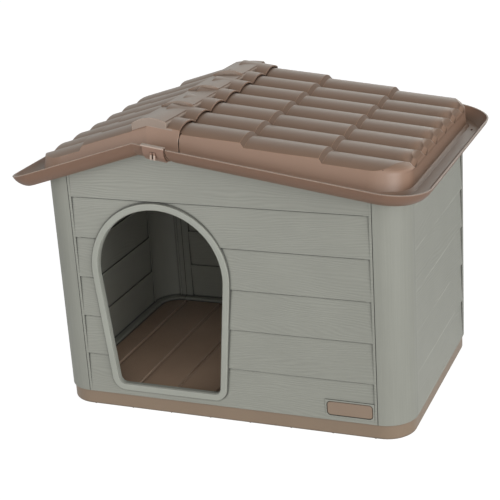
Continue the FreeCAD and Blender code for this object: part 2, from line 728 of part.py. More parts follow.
def cut_panel_holes(panel, wall, face):
    holes = screw_holes(screw_places()[wall], 0, BASE_HEIGHT + BOSS_HEIGHT - BOSS_TIP, SCREW_RADIUS + SCREW_GAP)
    depth = DEPTH_INSIDE + BRACKET_PLATE - SCREW_LENGTH - 0.5
    for x, z in bracket_screw_places():
        hole = cylinder_y(x, z, SCREW_RADIUS + SCREW_GAP, FRONT + depth, FRONT + DEPTH_INSIDE + 1)
        holes.append(hole if face < 0 else mirrored_y(hole))
    return panel.cut(holes)


def rear_panel():
    pieces = [mirrored_y(piece) for piece in long_panel()] + bosses(screw_places()["rear"])
    panel = fuse(pieces).common(gable_prism(WALL_TOP_DROP, 0))
    swept = hypot(LAP_EDGE_BACK, COURSE_LOW + COURSE_DROP + BARREL_RISE)
    panel = panel.cut(cylinder_y(AXIS_X, AXIS_Z, swept + 2.0, 0, -FRONT + 1))
    return cut_panel_holes(panel, "rear", -FRONT)


def corner_shell():
    inner = CORNER_RADIUS - WALL
    centre_x = SIDE - CORNER_RADIUS
    centre_y = FRONT + CORNER_RADIUS
    height = RIDGE_Z - BASE_HEIGHT
    ring = Part.makeCylinder(CORNER_RADIUS, height, Vector(centre_x, centre_y, BASE_HEIGHT),
                             Vector(0, 0, 1), 90)
    ring = ring.cut(Part.makeCylinder(inner, height, Vector(centre_x, centre_y, BASE_HEIGHT)))
    ring.rotate(Vector(centre_x, centre_y, 0), Vector(0, 0, 1), -90)
    return ring


def corner_foot():
    centre_x = SIDE - CORNER_RADIUS
    centre_y = FRONT + CORNER_RADIUS
    section = foot_section()
    section.translate(Vector(centre_x, FRONT, 0))
    return section.revolve(Vector(centre_x, centre_y, 0), Vector(0, 0, 1), 90)


def corner_piece():
    seam = PANEL_HALF + SEAM_GAP / 2
    centre_x = SIDE - CORNER_RADIUS
    post = box(seam, centre_x + 0.5, FRONT, FRONT + WALL, BASE_HEIGHT, RIDGE_Z)
    return [corner_shell(), corner_foot(), post, foot_along_x(seam, centre_x + 0.5)]


def side_panel(wall):
    edge = SIDE_EDGE
    field = edge - PLANK_MARGIN
    pieces = [siding(-field - 0.5, field + 0.5, SIDE, -1, False)]
    for sign in (-1, 1):
        y0, y1 = sorted((sign * field, sign * (edge + 0.5)))
        pieces.append(box(SIDE - DEPTH_INSIDE, SIDE, y0, y1, BASE_HEIGHT, RIDGE_Z))
    pieces.append(foot_along_y(-edge - 0.5, edge + 0.5))
    corner = corner_piece()
    pieces += corner + [mirrored_y(piece) for piece in corner]
    pieces += bosses(screw_places()["right"])
    if wall == "left":
        pieces = [mirrored_x(piece) for piece in pieces]
    panel = fuse(pieces).common(gable_prism(WALL_TOP_DROP, 0))
    holes = screw_holes(screw_places()[wall], 0, BASE_HEIGHT + BOSS_HEIGHT - BOSS_TIP, SCREW_RADIUS + SCREW_GAP)
    return panel.cut(holes)


# Tray
def tray_outline(inset, z0, z1):
    x = SIDE - inset
    y = -FRONT - inset
    return rounded_block(-x, x, -y, y, CORNER_RADIUS - inset, z0, z1)


def base_tray():
    skirt = tray_outline(BASE_INSET, 0, BASE_HEIGHT)
    bottom = [edge for edge in skirt.Edges if edge.BoundBox.ZMax < 0.01]
    skirt = skirt.makeFillet(BASE_EDGE_ROUND, bottom)
    ledge = BASE_HEIGHT - FLOOR_THICKNESS
    border = FOOT_DEPTH + FLOOR_GAP
    skirt = skirt.cut(tray_outline(BASE_INSET + FLOOR_THICKNESS, -1, ledge))
    skirt = skirt.cut(tray_outline(border + FLOOR_THICKNESS, -1, BASE_HEIGHT + 1))
    floor = tray_outline(border, ledge, FLOOR_TOP)
    floor = floor.cut(tray_outline(border + FLOOR_THICKNESS, -1, FLOOR_TOP - FLOOR_THICKNESS))
    half_width = SIDE - BASE_INSET - FLOOR_THICKNESS / 2
    half_depth = -FRONT - BASE_INSET - FLOOR_THICKNESS / 2
    pieces = [skirt, floor]
    groove_half = -FRONT - border - FLOOR_THICKNESS / 2
    channel_half = GROOVE_WIDTH / 2 + FLOOR_THICKNESS
    grooves = []
    rib_top = FLOOR_TOP - FLOOR_THICKNESS
    inside = tray_outline(BASE_INSET + FLOOR_THICKNESS / 2, 0, rib_top)
    for index in range(GROOVE_COUNT):
        x = (index - (GROOVE_COUNT - 1) / 2) * GROOVE_PITCH
        rib = box(x - TRAY_RIB / 2, x + TRAY_RIB / 2, -half_depth, half_depth, 0, rib_top)
        pieces.append(rib.common(inside))
        pieces.append(box(x - channel_half, x + channel_half, -groove_half, groove_half,
                          rib_top - GROOVE_DEPTH, FLOOR_TOP - GROOVE_DEPTH / 2))
        wide = GROOVE_WIDTH / 2 + GROOVE_SLOPE / 2
        narrow = wide - GROOVE_SLOPE
        section = [(x - wide, -groove_half, FLOOR_TOP), (x - narrow, -groove_half, FLOOR_TOP - GROOVE_DEPTH),
                   (x + narrow, -groove_half, FLOOR_TOP - GROOVE_DEPTH), (x + wide, -groove_half, FLOOR_TOP)]
        grooves.append(prism(section, (0, 2 * groove_half, 0)))
    for index in range(CROSS_RIB_COUNT):
        y = (index - (CROSS_RIB_COUNT - 1) / 2) * CROSS_RIB_PITCH
        rib = box(-half_width, half_width, y - TRAY_RIB / 2, y + TRAY_RIB / 2, 0, rib_top)
        pieces.append(rib.common(inside))
    outside_ribs = tray_outline(BASE_INSET, ledge + 0.5, BASE_HEIGHT + 20)
    outside_ribs = outside_ribs.cut(tray_outline(border + 1, ledge, BASE_HEIGHT + 21))
    cut_ribs = [skirt, floor] + [piece.cut(outside_ribs) for piece in pieces[2:]]
    places = [place for group in screw_places().values() for place in group]
    holes = screw_holes(places, -1, BASE_HEIGHT + 1, SCREW_RADIUS + SCREW_GAP)
    return fuse(cut_ribs).cut(grooves + holes)


def base_screws():
    head_top = BASE_HEIGHT - FLOOR_THICKNESS
    screws = []
    for group in screw_places().values():
        for x, y in group:
            head = Part.makeCylinder(SCREW_HEAD_RADIUS, SCREW_HEAD, Vector(x, y, head_top - SCREW_HEAD))
            shank = Part.makeCylinder(SCREW_RADIUS, BASE_SCREW_LENGTH, Vector(x, y, head_top - 0.5))
            screws.append(head.fuse(shank).removeSplitter())
    return Part.makeCompound(screws)


# Trim on the front wall
def door_frame():
    outer = door_block(DOOR_BAND, FRONT - DOOR_PROUD, FRONT)
    band = outer.cut(door_block(DOOR_STEP, FRONT - DOOR_PROUD - 1, FRONT + 1))
    face_edges = [edge for edge in band.Edges if edge.BoundBox.YMax < FRONT - DOOR_PROUD + 0.01]
    band = band.makeFillet(DOOR_ROUND, face_edges)
    sleeve_front = FRONT - DOOR_PROUD + DOOR_STEP_BACK
    sleeve = door_block(DOOR_SLEEVE, sleeve_front, FRONT + DOOR_SLEEVE_DEPTH)
    sleeve = sleeve.cut(door_block(0, sleeve_front - 1, FRONT + DOOR_SLEEVE_DEPTH + 1))
    return fuse([band, sleeve])


def plate_block(grow, y0, y1):
    flat = rounded_block(PLATE_X - PLATE_WIDTH / 2 - grow, PLATE_X + PLATE_WIDTH / 2 + grow,
                         -PLATE_HEIGHT / 2 - grow, PLATE_HEIGHT / 2 + grow, PLATE_ROUND + grow, 0, y1 - y0)
    flat.rotate(Vector(0, 0, 0), Vector(1, 0, 0), 90)
    flat.translate(Vector(0, y1, PLATE_Z))
    return flat


def name_plate():
    return plate_block(0, FRONT + 0.4, FRONT + PLATE_THICKNESS)


# Hinge hardware
def hinge_bracket():
    inner_y = EAR_Y - EAR_THICKNESS / 2 - EAR_GAP - LUG_THICKNESS
    outer_y = EAR_Y + EAR_THICKNESS / 2 + EAR_GAP + LUG_THICKNESS
    wall_y = -FRONT - DEPTH_INSIDE
    top = AXIS_Z - BRACKET_TOP_DROP
    half = BRACKET_WIDTH / 2
    plate = box(AXIS_X - half, AXIS_X + half, wall_y - BRACKET_PLATE, wall_y, top - BRACKET_HEIGHT, top)
    table = box(AXIS_X - half, AXIS_X + half, inner_y, wall_y, top - LUG_THICKNESS, top)
    lugs = []
    for y0 in (inner_y, outer_y - LUG_THICKNESS):
        y1 = y0 + LUG_THICKNESS
        hub = cylinder_y(AXIS_X, AXIS_Z, HUB_RADIUS, y0, y1)
        arm = [(AXIS_X - HUB_RADIUS, y0, AXIS_Z), (AXIS_X + HUB_RADIUS, y0, AXIS_Z),
               (AXIS_X + half, y0, top), (AXIS_X + 2.0, y0, top)]
        lugs.append(hub.fuse(prism(arm, (0, LUG_THICKNESS, 0))))
    bracket = fuse([plate, table] + lugs)
    bracket = bracket.cut(cylinder_y(AXIS_X, AXIS_Z, PIN_RADIUS + PIN_SEAT_GAP, inner_y - 1, outer_y + 1))
    holes = [cylinder_y(x, z, SCREW_RADIUS + SCREW_GAP, wall_y - BRACKET_PLATE - 1, wall_y + 1)
             for x, z in bracket_screw_places()]
    return bracket.cut(holes)


def hinge_pin():
    inner_y = EAR_Y - EAR_THICKNESS / 2 - EAR_GAP - LUG_THICKNESS
    outer_y = EAR_Y + EAR_THICKNESS / 2 + EAR_GAP + LUG_THICKNESS
    shank = cylinder_y(AXIS_X, AXIS_Z, PIN_RADIUS, inner_y - 0.5, outer_y)
    head = cylinder_y(AXIS_X, AXIS_Z, PIN_HEAD_RADIUS, inner_y - PIN_HEAD, inner_y)
    return fuse([shank, head])


def hinge_screws():
    wall_y = -FRONT - DEPTH_INSIDE
    seat = wall_y - BRACKET_PLATE
    screws = []
    for x, z in bracket_screw_places():
        head = cylinder_y(x, z, SCREW_HEAD_RADIUS, seat - SCREW_HEAD, seat)
        shank = cylinder_y(x, z, SCREW_RADIUS, seat - 0.5, seat + SCREW_LENGTH)
        screws.append(head.fuse(shank).removeSplitter())
    return Part.makeCompound(screws + [mirrored_y(screw) for screw in screws])


# Latch that wraps the rim beside the ridge and slides along it
def rim_latch():
    inward, height, radius = rim_arc_centre()
    lip_y = -RIM_DEPTH / 2
    start = LATCH_START
    length = LATCH_LENGTH
    outer_radius = radius + LATCH_GAP + LATCH_WALL

    def tube(r):
        return Part.makeCylinder(r, length, Vector(start, lip_y + inward, height), Vector(1, 0, 0))

    top = LATCH_GAP + LATCH_WALL
    bottom = -LIP_HEIGHT - LATCH_GAP - LATCH_WALL
    skin = tube(outer_radius).cut(tube(radius + LATCH_GAP))
    outside = box(start - 1, start + length + 1, lip_y - 2 * top, lip_y + LIP_LEAN, bottom, top)
    skin = skin.common(outside)
    foot_y = lip_y + LIP_LEAN
    hook = box(start, start + length, foot_y - 1.5, foot_y + LATCH_HOOK_DEPTH, bottom, bottom + LATCH_WALL)
    crown_start = start + LATCH_PLATE_SHIFT
    tongue_y = lip_y + ROOF_WALL + 3 * LATCH_GAP
    tongue_back = tongue_y + LATCH_TONGUE
    crown = box(crown_start, crown_start + length, lip_y - top, tongue_back, LATCH_GAP, top)
    tongue = box(start, start + length, tongue_y, tongue_back, -ROOF_WALL, top)
    middle = start + length / 2
    front_y = lip_y - GRIP_RISE
    inside = tube(outer_radius - LATCH_WALL / 2)

    def prong(x, width, low):
        points = [(x, front_y, -GRIP_HIGH), (x, front_y + GRIP_RISE, -low),
                  (x, front_y + GRIP_RISE + GRIP_THICKNESS, -low), (x, foot_y, -GRIP_HIGH)]
        return prism(points, (width, 0, 0)).cut(inside)

    ribs = [prong(x, GRIP_RIB, GRIP_LOW) for x in (middle - GRIP_WIDTH / 2, middle + GRIP_WIDTH / 2 - GRIP_RIB)]
    bridge = prong(middle - GRIP_WIDTH / 2, GRIP_WIDTH, GRIP_HIGH + GRIP_RIB)
    latch = fuse([skin, hook, crown, tongue, bridge] + ribs)
    return on_slope(latch, RIGHT_PITCH)


def write(name, shape):
    if not shape.isValid():
        print("not valid:", name)
    shape.exportStep("parts/" + name + ".step")
    bounds = shape.BoundBox
    print("%-22s solids %2d  volume %9.1f  x %7.1f %7.1f  y %7.1f %7.1f  z %6.1f %6.1f" % (
        name, len(shape.Solids), shape.Volume, bounds.XMin, bounds.XMax, bounds.YMin, bounds.YMax,
        bounds.ZMin, bounds.ZMax))


def main():
    os.makedirs("parts", exist_ok=True)
    bracket = hinge_bracket()
    pin = hinge_pin()
    latch = rim_latch()
    pieces = {
        "base_tray": base_tray(),
        "base_screws": base_screws(),
        "front_panel": front_panel(),
        "rear_panel": rear_panel(),
        "left_side_panel": side_panel("left"),
        "right_side_panel": side_panel("right"),
        "door_frame": door_frame(),
        "name_plate": name_plate(),
        "roof_fixed": roof_fixed(),
        "roof_lid": roof_lid(),
        "front_latch": latch,
        "rear_latch": mirrored_y(latch),
        "front_hinge_bracket": mirrored_y(bracket),
        "rear_hinge_bracket": bracket,
        "front_hinge_pin": mirrored_y(pin),
        "rear_hinge_pin": pin,
        "hinge_screws": hinge_screws(),
    }
    for name, shape in pieces.items():
        write(name, shape)


main()
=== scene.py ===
from math import cos, pi, radians, sin

import bpy
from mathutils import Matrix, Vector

# Plastic dog house, dressed in moulded plastic finishes. Metres, X right, Y back, Z up.

# Camera: place, turn in degrees, lens and sensor in millimetres
CAMERA_PLACE = (0.8590, -2.1408, 1.0925)
CAMERA_TURN = (69.681, 3.512, 21.293)
CAMERA_LENS = 96.98
SENSOR = 36.0
CLIP_END = 50.0

# Colours as they look on screen, 0 to 255
WALL_COLOUR = (149, 150, 141)
WALL_PALE = (158, 160, 151)
BROWN = (143, 116, 97)
BASE_BROWN = (136, 118, 100)
# Cabin floor, painted lighter than the tray
LIT_FLOOR_BROWN = (196, 166, 142)
# Painted highlight on the edges of the cabin floor
FLOOR_EDGE_HIGHLIGHT = (226, 214, 204)
LATCH_BROWN = (142, 112, 96)
PLATE_BROWN = (142, 123, 106)
# Painted highlight on roof edges and on the latches' top strip and prongs
PALE_HIGHLIGHT = (196, 178, 164)
# Painted shade on roof faces that turn down
UNDERSIDE_SHADE_BROWN = (122, 94, 77)
# Upright bands of the roof, painted lighter than the brown
LIT_BAND_BROWN = (158, 128, 109)
# Upright faces of the ridge caps, painted paler and greyer
LIT_CAP_BROWN = (160, 143, 130)
STEEL_GREY = (186, 187, 188)
PAPER_DARK = (238, 238, 237)
PAPER_PALE = (243, 243, 242)
WHITE = (1.0, 1.0, 1.0, 1.0)
DIM_GREY = (0.25, 0.25, 0.25, 1.0)

# Strength of the room's light on matt surfaces, then in reflections
SKY_AROUND = 0.22
SKY_OVERHEAD = -0.15
SKY_FRONT_RIGHT = 1.9
SKY_FRONT_LEFT = 0.10
SKY_BEHIND = 1.3
GLOSS_AROUND = 0.76
GLOSS_OVERHEAD = -0.50
GLOSS_BEHIND = 1.3
GLOSS_FRONT = 0.9
GLOSS_TINT = (0.98, 1.0, 0.96, 1.0)

# Brighter directions in the room: degrees to the right of the front, degrees up, narrowness
FRONT_RIGHT_LOBE = (38.0, 12.0, 5.0)
FRONT_LEFT_LOBE = (-40.0, 12.0, 5.0)
BEHIND_LOBE = (-160.0, 12.0, 5.0)
GLOSS_FRONT_LOBE = (24.0, 18.0, 4.0)
GLOSS_BEHIND_LOBE = (168.0, 18.0, 6.0)
CEILING_FROM = 0.15
CEILING_TO = 0.95

# Soft boxes
LAMP_AIM = (0.0, 0.0, 0.2)
RIGHT_PLACE = (2.6, -1.2, 0.7)
RIGHT_SIZE = (1.6, 1.2)
RIGHT_POWER = 28.0
LEFT_PLACE = (-1.0, -1.9, 0.6)
LEFT_SIZE = (1.0, 0.9)
LEFT_POWER = 9.0

# Paper floor, which throws some light back near the object
PAPER_SIZE = 30.0
PAPER_GLOW = 0.94
BOUNCE = 0.16
BOUNCE_FULL = 0.35
BOUNCE_END = 0.95

# Places on the walls
PLANK_FOOT = 0.0295
PLANK_PITCH = 0.0735
# Share of each plank, up from its foot, that gets a painted highlight on the side walls
FOOT_SHARE = 0.022
POST_Y = 0.168
POST_LINE_HALF = 0.0009
# Upright line of painted shade in the seam near each corner of the front and rear walls
CORNER_SEAM_X = 0.270
CORNER_SEAM_HALF = 0.0006

# Wood grain: distance of its rings, how far they wander, and how dark they are
GRAIN_PITCH = 0.0046
GRAIN_WAVE = 52.0
GRAIN_DRIFT = 0.22
GRAIN_ON_FRONT = 0.42
GRAIN_ON_SIDE = 0.22
GRAIN_ON_POST = 0.55

# Places on the roof: heights are square to a slope, and the shoulder starts and ends down it from the ridge
RIDGE_X = -0.112
RIDGE_Z = 0.514
RIGHT_PITCH = 8.5
LEFT_PITCH = -17.3
TILE_FOOT = 0.006
CAP_FOOT = 0.012
CAP_HALF_WIDTH = 0.045
RIM_HALF = 0.003
SHOULDER_X = 0.288
SHOULDER_FOOT = 0.006
SHOULDER_FROM = 0.404
SHOULDER_TO = 0.440
SHOULDER_MIDDLE_Y = 0.030
SHOULDER_HALF_Y = 0.178

# Places on the latches, for the painted highlight on the top strip and the prongs
STRIP_FOOT = 0.0004
PRONG_OUT = 0.2745
PRONG_DROP = -0.0125

# Places in the tray
FLOOR_HALF_X = 0.320
FLOOR_HALF_Y = 0.216
FLOOR_LEVEL = 0.0282

# Upward share of a roof surface's normal: sloping, upright, turning under and facing down
SLOPING = 0.75
UPRIGHT = 0.45
TURNING_UNDER = 0.15
FACING_DOWN = -0.10

# Least shares of a riser's normal, down the slope and square to it
RISER_LEAN = 0.3
RISER_RISE = 0.5

# Likeness of the rounded and the flat normal where an outer edge begins, and where it is full
EDGE_BEGINS = 0.995
EDGE_FULL = 0.88

# Radius of an ordinary moulded edge
EDGE_RADIUS = 0.0012

# Plastic's refraction, and the middle part of a noise's range
PLASTIC_IOR = 1.49
NOISE_LOW = 0.3
NOISE_HIGH = 0.7

# The blend node's sockets for each kind of value: first, second and result
BLEND_SOCKETS = {"FLOAT": (2, 3, 0), "VECTOR": (4, 5, 1), "RGBA": (6, 7, 2)}


# Colour written as on screen, turned into the renderer's linear light
def linear(colour, share=1.0):
    channels = []
    for value in colour:
        level = min(value * share / 255.0, 1.0)
        channels.append(level / 12.92 if level < 0.04045 else ((level + 0.055) / 1.055) ** 2.4)
    return (*channels, 1.0)


# One shader node with its settings, and its sockets set or linked
def add(tree, kind, values=None, **settings):
    node = tree.nodes.new(kind)
    for key, value in settings.items():
        setattr(node, key, value)
    for key, value in (values or {}).items():
        socket = node.inputs[key]
        if isinstance(value, bpy.types.NodeSocket):
            tree.links.new(value, socket)
        else:
            socket.default_value = value
    return node


def calc(tree, operation, first, second=0.0):
    return add(tree, "ShaderNodeMath", {0: first, 1: second}, operation=operation).outputs[0]


def vector_calc(tree, operation, first, second=(0.0, 0.0, 0.0), result="Vector"):
    node = add(tree, "ShaderNodeVectorMath", {0: first, 1: second}, operation=operation)
    return node.outputs[result]


def dot(tree, first, second):
    return vector_calc(tree, "DOT_PRODUCT", first, second, "Value")


def blend(tree, factor, first, second, kind="FLOAT"):
    one, two, result = BLEND_SOCKETS[kind]
    node = add(tree, "ShaderNodeMix", {0: factor, one: first, two: second}, data_type=kind)
    return node.outputs[result]


def product(tree, value, *others):
    for other in others:
        value = calc(tree, "MULTIPLY", value, other)
    return value


def weighted(tree, pairs):
    total = 0.0
    for weight, value in pairs:
        total = calc(tree, "ADD", product(tree, value, weight), total)
    return total


def above(tree, value, level):
    return calc(tree, "GREATER_THAN", value, level)


def below(tree, value, level):
    return calc(tree, "LESS_THAN", value, level)


def near_level(tree, value, level, half_width):
    return below(tree, calc(tree, "ABSOLUTE", calc(tree, "SUBTRACT", value, level)), half_width)


def axis(tree, vector, name):
    return add(tree, "ShaderNodeSeparateXYZ", {"Vector": vector}).outputs[name]


# Distance from the middle plane along one axis
def outward_from_middle(tree, vector, name):
    return calc(tree, "ABSOLUTE", axis(tree, vector, name))


def place(tree):
    return add(tree, "ShaderNodeTexCoord").outputs["Object"]


def flat_normal(tree):
    return add(tree, "ShaderNodeNewGeometry").outputs["Normal"]


def rounded_normal(tree, radius, samples=6):
    return add(tree, "ShaderNodeBevel", {"Radius": radius}, samples=samples).outputs["Normal"]


def turned_vector(tree, vector, source, target):
    node = add(tree, "ShaderNodeVectorTransform", {"Vector": vector}, vector_type="NORMAL",
               convert_from=source, convert_to=target)
    return node.outputs["Vector"]


# A value's range from low to high, spread over another range
def spread(tree, value, low, high, out_low=0.0, out_high=1.0, curve="LINEAR"):
    node = add(tree, "ShaderNodeMapRange", {
        "Value": value, "From Min": low, "From Max": high, "To Min": out_low, "To Max": out_high},
        interpolation_type=curve)
    return node.outputs["Result"]


def noise(tree, vector, scale, detail=2.0, roughness=0.5):
    node = add(tree, "ShaderNodeTexNoise", {
        "Vector": vector, "Scale": scale, "Detail": detail, "Roughness": roughness})
    return node.outputs["Fac"]


# Noise drawn out along one axis: its scale across that axis, then along it
def drawn_noise(tree, vector, along, across_scale, along_scale, detail=2.0, roughness=0.5):
    scale = [across_scale] * 3
    scale["XYZ".index(along)] = along_scale
    drawn = add(tree, "ShaderNodeMapping", {"Vector": vector, "Scale": scale}).outputs["Vector"]
    return noise(tree, drawn, 1.0, detail, roughness)


# A level between low and high that follows a noise
def varied(tree, pattern, low, high):
    return spread(tree, pattern, NOISE_LOW, NOISE_HIGH, low, high)


def cloudy(tree, vector, colour, share):
    patches = noise(tree, vector, scale=9.0, detail=3.0, roughness=0.55)
    return blend(tree, varied(tree, patches, 0.0, 1.0), linear(colour, 1.0 - share),
                 linear(colour, 1.0 + share), "RGBA")


# Colours laid over a base one after another, each as far as its mask and strength say
def lay(tree, base, *layers):
    for mask, strength, colour in layers:
        base = blend(tree, product(tree, mask, strength), base, colour, "RGBA")
    return base


# How deep a point lies in a seam or corner, from 0 to 1
def seam_share(tree, reach, deep=0.35, clear=0.9):
    node = add(tree, "ShaderNodeAmbientOcclusion", {"Distance": reach}, samples=8)
    return spread(tree, node.outputs["AO"], clear, deep)


# How much a point lies on an outer edge, from 0 to 1
def edge_share(tree, radius, seam):
    likeness = dot(tree, rounded_normal(tree, radius, samples=4), flat_normal(tree))
    edge = spread(tree, likeness, EDGE_BEGINS, EDGE_FULL)
    return product(tree, edge, calc(tree, "SUBTRACT", 1.0, seam))


def new_material(name):
    material = bpy.data.materials.new(name)
    material.use_nodes = True
    material.node_tree.nodes.clear()
    return material, material.node_tree


def finish_surface(tree, colour, roughness, height, bump, normal):
    relief = add(tree, "ShaderNodeBump", {
        "Height": height, "Normal": normal, "Strength": 1.0, "Distance": bump})
    shader = add(tree, "ShaderNodeBsdfPrincipled", {
        "Base Color": colour, "Roughness": roughness, "Normal": relief.outputs["Normal"]})
    shader.inputs["IOR"].default_value = PLASTIC_IOR
    out = add(tree, "ShaderNodeOutputMaterial")
    tree.links.new(shader.outputs["BSDF"], out.inputs["Surface"])
    return shader


# Seams darker with painted shade and outer edges lighter with painted highlights than the flats between
# them
def seam_shade_and_edge_highlight(tree, base, seam, edge_radius, dark, light):
    edge = edge_share(tree, edge_radius, seam)
    return lay(tree, base, (edge, 0.75, light), (seam, 0.7, dark))


# Height of a point, counted in planks from the foot of the lowest
def planks_up(tree, vector):
    return calc(tree, "DIVIDE", calc(tree, "SUBTRACT", axis(tree, vector, "Z"), PLANK_FOOT), PLANK_PITCH)


# Embossed wood grain along one axis, which starts afresh at each plank and drifts across it
def plank_grain(tree, vector, along):
    row = calc(tree, "FLOOR", planks_up(tree, vector))
    jump = add(tree, "ShaderNodeTexWhiteNoise", {"W": row}, noise_dimensions="1D").outputs["Value"]
    shift = add(tree, "ShaderNodeCombineXYZ", {"X": jump, "Y": jump, "Z": row}).outputs["Vector"]
    moved = vector_calc(tree, "ADD", vector, shift)
    drift = product(tree, calc(tree, "SUBTRACT", jump, 0.5), GRAIN_DRIFT)
    slant = product(tree, axis(tree, vector, along), drift)
    rise = calc(tree, "ADD", axis(tree, vector, "Z"), slant)
    wave = drawn_noise(tree, moved, along, across_scale=22.0, along_scale=4.0)
    phase = weighted(tree, [(2.0 * pi / GRAIN_PITCH, rise), (GRAIN_WAVE, wave)])
    rings = spread(tree, calc(tree, "SINE", phase), -1.0, 1.0)
    fibre = drawn_noise(tree, moved, along, across_scale=520.0, along_scale=16.0, detail=3.0, roughness=0.6)
    strength = drawn_noise(tree, moved, along, across_scale=60.0, along_scale=12.0)
    return blend(tree, spread(tree, strength, 0.35, 0.65, 0.15, 0.65), fibre, rings)


# Upright streaks of the corner posts
def post_grain(tree, vector):
    fine = drawn_noise(tree, vector, "Z", across_scale=460.0, along_scale=9.0, detail=3.0, roughness=0.6)
    broad = drawn_noise(tree, vector, "Z", across_scale=90.0, along_scale=5.0)
    return weighted(tree, [(0.6, fine), (0.4, broad)])


# Side walls' pale patchy plank feet, a painted highlight along the foot of each plank, and the faint
# upright line where each corner post begins
def side_wall_foot_highlights_and_post_lines(tree, vector, colour):
    outward = outward_from_middle(tree, vector, "Y")
    patches = spread(tree, noise(tree, vector, scale=14.0), 0.35, 0.6)
    # Painted highlight in patches along the foot of each plank
    foot_highlight = below(tree, calc(tree, "FRACT", planks_up(tree, vector)), FOOT_SHARE)
    foot_highlight = product(tree, foot_highlight, below(tree, outward, POST_Y), patches)
    line = product(tree, near_level(tree, outward, POST_Y, POST_LINE_HALF), patches)
    return lay(tree, colour, (foot_highlight, 0.7, linear(WALL_PALE, 1.16)), (line, 0.5, linear(WALL_COLOUR, 0.7)))


# Wall plastic with grain along one axis, and on the side walls upright streaks on the corner posts and
# painted highlights at the plank feet; painted shade in seams and corners and painted highlights on outer
# edges
def wall_finish(name, along):
    material, tree = new_material(name)
    vector = place(tree)
    height = plank_grain(tree, vector, along)
    depth = GRAIN_ON_FRONT
    if along == "Y":
        post = above(tree, outward_from_middle(tree, vector, "Y"), POST_Y)
        height = blend(tree, post, height, post_grain(tree, vector))
        depth = blend(tree, post, GRAIN_ON_SIDE, GRAIN_ON_POST)
    hollow = calc(tree, "SUBTRACT", 1.0, spread(tree, height, 0.15, 0.85))
    colour = cloudy(tree, vector, WALL_COLOUR, 0.018)
    colour = lay(tree, colour, (hollow, depth, linear(WALL_COLOUR, 0.86)))
    if along == "Y":
        colour = side_wall_foot_highlights_and_post_lines(tree, vector, colour)
    # Painted shade in hollows and in the corner seam line, painted highlights on outer edges
    line = near_level(tree, outward_from_middle(tree, vector, "X"), CORNER_SEAM_X, CORNER_SEAM_HALF)
    seam = calc(tree, "MAXIMUM", seam_share(tree, reach=0.005, deep=0.5, clear=0.92), line)
    edge = edge_share(tree, EDGE_RADIUS, seam)
    colour = lay(tree, colour, (edge, 0.6, linear(WALL_PALE, 1.06)), (seam, 0.9, linear(WALL_COLOUR, 0.30)))
    roughness = spread(tree, height, 0.2, 0.8, 0.46, 0.38)
    finish_surface(tree, colour, roughness, height, bump=0.0003, normal=rounded_normal(tree, 0.0010))
    return material


# Smooth plastic with painted shade in its seams and painted highlights on its outer edges
def smooth_finish(name, colour, roughness, grain, bump):
    material, tree = new_material(name)
    vector = place(tree)
    fine = noise(tree, vector, grain)
    base = seam_shade_and_edge_highlight(tree, cloudy(tree, vector, colour, 0.015), seam_share(tree, reach=0.008),
                EDGE_RADIUS, dark=linear(colour, 0.45), light=linear(colour, 1.15))
    rough = varied(tree, fine, roughness - 0.04, roughness + 0.05)
    finish_surface(tree, base, rough, fine, bump, rounded_normal(tree, EDGE_RADIUS))
    return material


# Directions square to a slope and down it
def slope_axes(pitch):
    angle = radians(pitch)
    return (sin(angle), 0.0, cos(angle)), (cos(angle), 0.0, -sin(angle))


# Distance of a point from the ridge, along one of a slope's directions
def from_ridge(tree, vector, direction):
    ridge = direction[0] * RIDGE_X + direction[2] * RIDGE_Z
    return calc(tree, "SUBTRACT", dot(tree, vector, direction), ridge)


def height_on_slope(tree, vector, pitch):
    return from_ridge(tree, vector, slope_axes(pitch)[0])


# Normal that turns evenly from the tiles to the box's side where the tiles end at the right
def shoulder_normal(tree, vector, facing, plain):
    upward, outward = slope_axes(RIGHT_PITCH)
    along = from_ridge(tree, vector, outward)
    turn = spread(tree, along, SHOULDER_FROM, SHOULDER_TO, curve="SMOOTHSTEP")
    sideways = add(tree, "ShaderNodeCombineXYZ", {"Y": axis(tree, facing, "Y")}).outputs["Vector"]
    turned = vector_calc(tree, "ADD", blend(tree, turn, upward, outward, "VECTOR"), sideways)
    turned = vector_calc(tree, "NORMALIZE", turned_vector(tree, turned, "OBJECT", "WORLD"))
    at_end = above(tree, along, SHOULDER_FROM)
    on_tiles = above(tree, from_ridge(tree, vector, upward), SHOULDER_FOOT)
    straight = near_level(tree, axis(tree, vector, "Y"), SHOULDER_MIDDLE_Y, SHOULDER_HALF_Y)
    return blend(tree, product(tree, at_end, on_tiles, straight), plain, turned, "VECTOR")


# Faces between two courses of tiles, which lean down the right slope
def tile_risers(tree, vector, facing):
    upward, outward = slope_axes(RIGHT_PITCH)
    leaning = above(tree, dot(tree, facing, outward), RISER_LEAN)
    rising = above(tree, dot(tree, facing, upward), RISER_RISE)
    on_tiles = above(tree, from_ridge(tree, vector, upward), TILE_FOOT)
    inner = below(tree, axis(tree, vector, "X"), SHOULDER_X)
    return product(tree, leaning, rising, on_tiles, inner)


